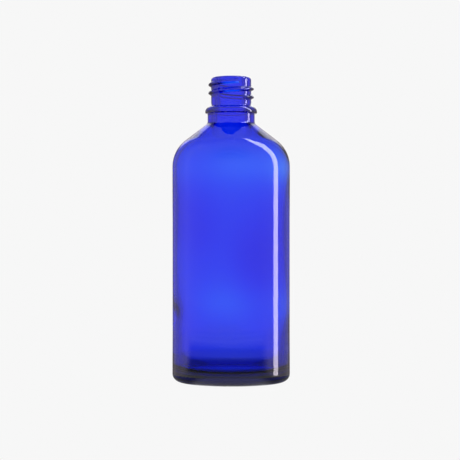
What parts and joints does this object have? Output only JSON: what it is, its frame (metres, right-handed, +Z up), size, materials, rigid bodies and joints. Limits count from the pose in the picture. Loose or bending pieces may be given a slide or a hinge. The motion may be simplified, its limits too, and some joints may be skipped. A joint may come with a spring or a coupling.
{
  "type": "screw-neck bottle",
  "caption": "Round cobalt-blue glass bottle with a sloping shoulder, a ringed neck and an external screw thread; open and empty.",
  "frame": {"origin": "middle of the ring that the bottle stands on, at the level it stands on", "axes": "+Z up the bottle's axis, out of its mouth; -Y is the front, 30 degrees to the left of both ends of the screw thread as seen from the front"},
  "size_m": [0.0456, 0.0456, 0.1179],
  "materials": {
    "cobalt_glass": "transparent cobalt blue glass, fire-polished, faintly uneven"
  },
  "bodies": {
    "root": {"glass_bottle": "cobalt_glass"}
  },
  "joints": []
}
